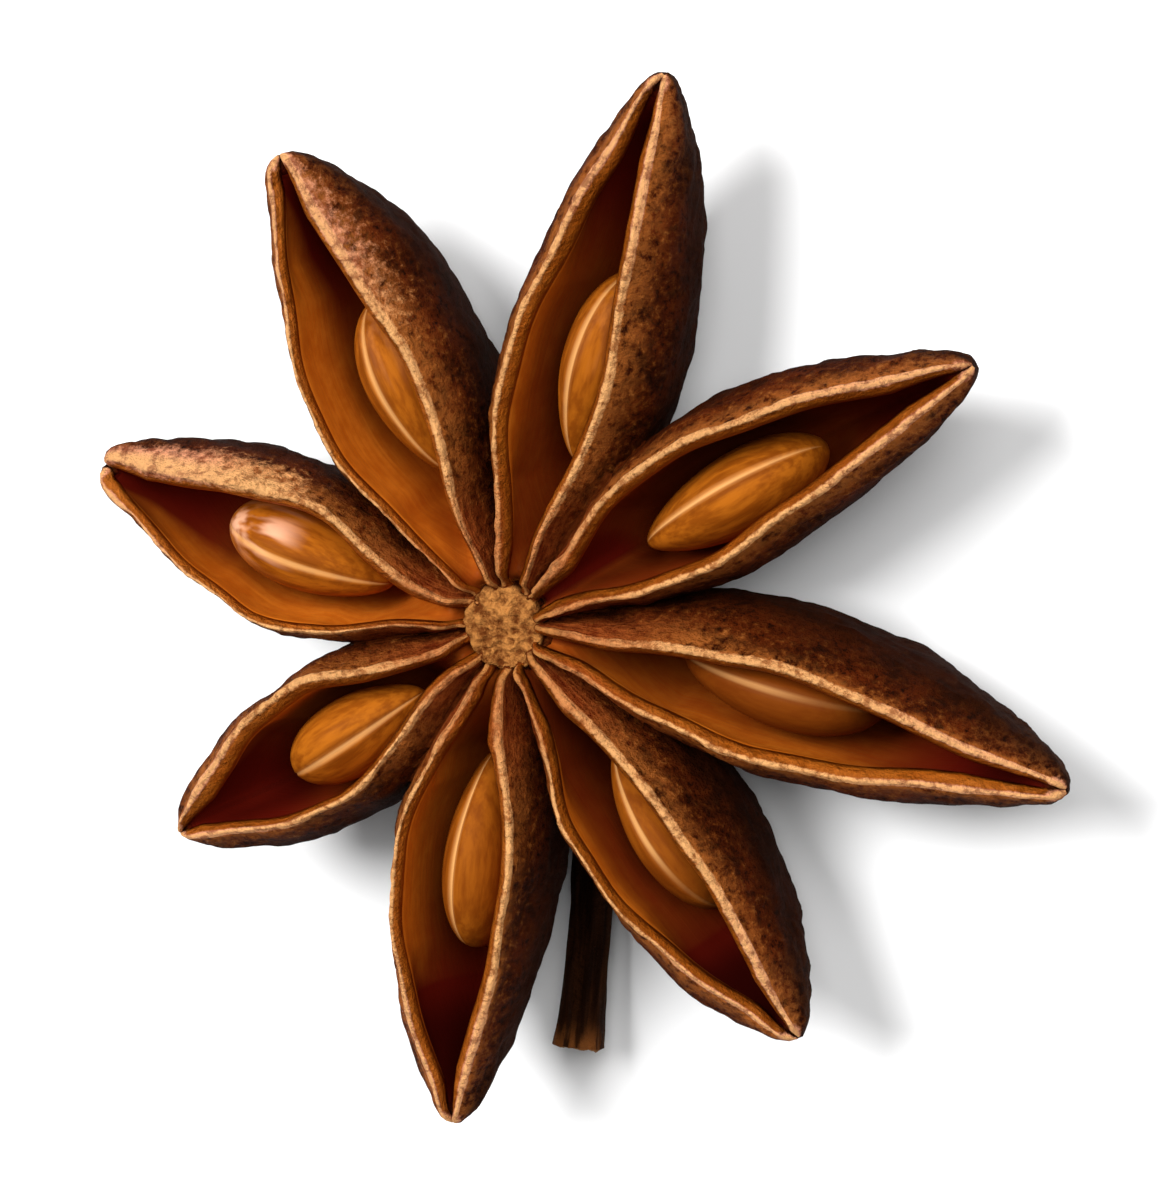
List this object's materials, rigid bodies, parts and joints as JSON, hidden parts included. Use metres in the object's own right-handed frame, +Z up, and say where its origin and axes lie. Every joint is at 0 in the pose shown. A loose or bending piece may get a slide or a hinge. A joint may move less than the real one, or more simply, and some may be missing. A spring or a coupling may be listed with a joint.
{
  "type": "star anise",
  "caption": "Dried star-shaped fruit: boat-shaped woody follicles in a ring round a short column, each split open along its upper seam over a glossy seed, with a curved stalk below.",
  "frame": {"origin": "centre of the bounding box in plan, at the height of the surface that the fruit rests on", "axes": "+Z up along the column's axis, through the open side of the follicles; +X and +Y across the star"},
  "size_m": [0.0326, 0.0344, 0.008],
  "materials": {
    "follicle_wood": "matt, wrinkled and granular dark red-brown outside, satin amber-brown inside, pale cut lips",
    "seed_coat": "hard, smooth and glossy golden brown, with a pale ridge line"
  },
  "bodies": {
    "root": {"fruit": "follicle_wood", "seed_1": "seed_coat", "seed_2": "seed_coat", "seed_3": "seed_coat", "seed_4": "seed_coat", "seed_5": "seed_coat", "seed_6": "seed_coat", "seed_7": "seed_coat", "seed_8": "seed_coat"}
  },
  "joints": []
}
